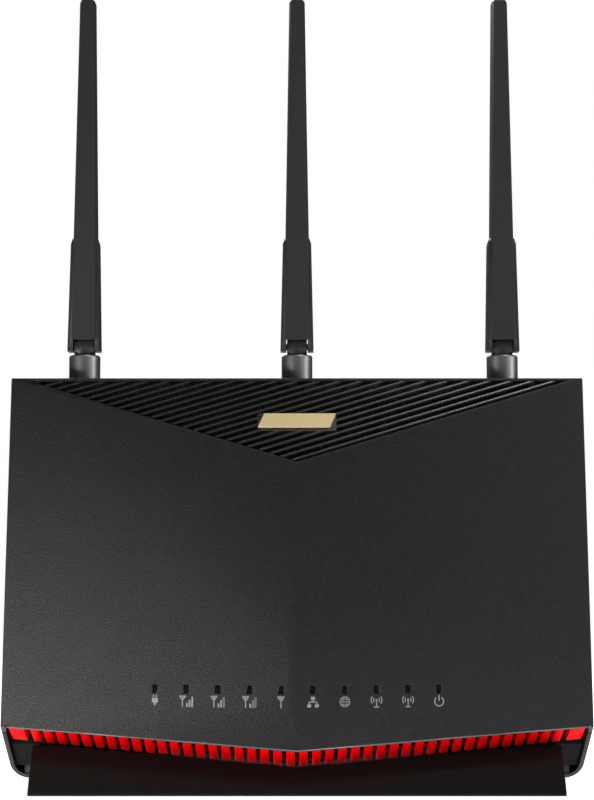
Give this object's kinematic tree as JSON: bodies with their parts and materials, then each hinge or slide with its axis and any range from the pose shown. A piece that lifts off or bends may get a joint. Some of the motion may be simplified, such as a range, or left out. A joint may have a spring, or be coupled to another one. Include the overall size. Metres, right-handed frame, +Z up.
{
  "type": "wireless router",
  "caption": "Upright faceted wireless router with a slatted V grille, red intake comb, wide stand, rear socket row and foldable screw-on antennas.",
  "frame": {"origin": "on the floor, under the centre of the stand", "axes": "+Z up, +X to the right seen from the front, +Y to the rear; the front faces -Y"},
  "size_m": [0.22, 0.083, 0.308],
  "materials": {
    "shell_black": "fine grained matte black moulded plastic",
    "inner_black": "plain matte black moulded plastic",
    "comb_red": "satin red moulded plastic",
    "badge_gold": "brushed gold metal",
    "rubber_grey": "matte grey rubber",
    "guide_clear": "frosted clear plastic",
    "board_green": "solder resist over glass laminate",
    "fin_aluminium": "extruded aluminium",
    "tinned_steel": "tin plated sheet steel",
    "socket_blue": "satin blue plastic",
    "socket_black": "satin black plastic",
    "screw_steel": "dark zinc plated steel",
    "contact_gold": "gold plated brass",
    "cable_black": "thin coaxial cable jacket",
    "collar_satin": "satin dark grey metal"
  },
  "bodies": {
    "housing": {"front_cover": "shell_black", "grille_panel": "shell_black", "rear_cover": "shell_black", "port_plate": "shell_black", "stand": "shell_black", "intake_tray": "inner_black", "front_badge": "badge_gold", "red_vent_comb": "comb_red", "foot_front_left": "rubber_grey", "foot_front_right": "rubber_grey", "foot_rear_left": "rubber_grey", "foot_rear_right": "rubber_grey", "skirt_pad_left": "rubber_grey", "skirt_pad_right": "rubber_grey", "light_guide_left": "guide_clear", "light_guide_right": "guide_clear", "main_board": "board_green", "heatsink": "fin_aluminium", "shield_5ghz_radio": "tinned_steel", "shield_2ghz_radio": "tinned_steel", "cellular_modem": "tinned_steel", "sim_socket": "tinned_steel", "usb_port": "tinned_steel", "wps_switch": "tinned_steel", "wifi_switch": "tinned_steel", "reset_switch": "tinned_steel", "wan_jack": "socket_blue", "lan_jack_1": "socket_black", "lan_jack_2": "socket_black", "lan_jack_3": "socket_black", "lan_jack_4": "socket_black", "dc_jack": "socket_black", "power_switch": "socket_black", "housing_screw_1": "screw_steel", "housing_screw_2": "screw_steel", "housing_screw_3": "screw_steel", "housing_screw_4": "screw_steel", "connector_left": "contact_gold", "pigtail_left": "cable_black", "connector_center": "contact_gold", "pigtail_center": "cable_black", "connector_right": "contact_gold", "pigtail_right": "cable_black"},
    "collar_left": {"antenna_left_collar": "collar_satin"},
    "swivel_left": {"antenna_left_neck": "shell_black"},
    "blade_left": {"antenna_left_blade": "shell_black", "antenna_left_pin": "screw_steel"},
    "collar_center": {"antenna_center_collar": "collar_satin"},
    "swivel_center": {"antenna_center_neck": "shell_black"},
    "blade_center": {"antenna_center_blade": "shell_black", "antenna_center_pin": "screw_steel"},
    "collar_right": {"antenna_right_collar": "collar_satin"},
    "swivel_right": {"antenna_right_neck": "shell_black"},
    "blade_right": {"antenna_right_blade": "shell_black", "antenna_right_pin": "screw_steel"},
    "power_button": {"power_button": "socket_black"},
    "wps_button": {"wps_button": "socket_black"},
    "wifi_button": {"wifi_button": "socket_black"},
    "reset_button": {"reset_button": "comb_red"}
  },
  "joints": [
    {"name": "antenna_left_collar_turn", "type": "hinge", "parent": "housing", "child": "collar_left", "pos_m": [-0.0834, 0.0075, 0.1594], "axis": [0, 0, 1], "continuous": true},
    {"name": "antenna_left_swivel", "type": "hinge", "parent": "housing", "child": "swivel_left", "pos_m": [-0.0834, 0.0075, 0.1594], "axis": [0, 0, 1], "continuous": true},
    {"name": "antenna_left_fold", "type": "hinge", "parent": "swivel_left", "child": "blade_left", "pos_m": [-0.0834, 0.0075, 0.169], "axis": [-1, 0, 0], "range_deg": [0, 90]},
    {"name": "antenna_center_collar_turn", "type": "hinge", "parent": "housing", "child": "collar_center", "pos_m": [0, 0.0075, 0.1594], "axis": [0, 0, 1], "continuous": true},
    {"name": "antenna_center_swivel", "type": "hinge", "parent": "housing", "child": "swivel_center", "pos_m": [0, 0.0075, 0.1594], "axis": [0, 0, 1], "continuous": true},
    {"name": "antenna_center_fold", "type": "hinge", "parent": "swivel_center", "child": "blade_center", "pos_m": [0, 0.0075, 0.169], "axis": [-1, 0, 0], "range_deg": [0, 90]},
    {"name": "antenna_right_collar_turn", "type": "hinge", "parent": "housing", "child": "collar_right", "pos_m": [0.0806, 0.0075, 0.1594], "axis": [0, 0, 1], "continuous": true},
    {"name": "antenna_right_swivel", "type": "hinge", "parent": "housing", "child": "swivel_right", "pos_m": [0.0806, 0.0075, 0.1594], "axis": [0, 0, 1], "continuous": true},
    {"name": "antenna_right_fold", "type": "hinge", "parent": "swivel_right", "child": "blade_right", "pos_m": [0.0806, 0.0075, 0.169], "axis": [-1, 0, 0], "range_deg": [0, 90]},
    {"name": "power_button_press", "type": "slide", "parent": "housing", "child": "power_button", "axis": [0, -1, 0], "range_m": [0, 0.002], "stiffness_N_per_m": 700, "springref_m": -0.0005},
    {"name": "wps_button_press", "type": "slide", "parent": "housing", "child": "wps_button", "axis": [0, -1, 0], "range_m": [0, 0.001], "stiffness_N_per_m": 600, "springref_m": -0.0005},
    {"name": "wifi_button_press", "type": "slide", "parent": "housing", "child": "wifi_button", "axis": [0, -1, 0], "range_m": [0, 0.001], "stiffness_N_per_m": 600, "springref_m": -0.0005},
    {"name": "reset_button_press", "type": "slide", "parent": "housing", "child": "reset_button", "axis": [0, -1, 0], "range_m": [0, 0.0008], "stiffness_N_per_m": 500, "springref_m": -0.0005}
  ]
}
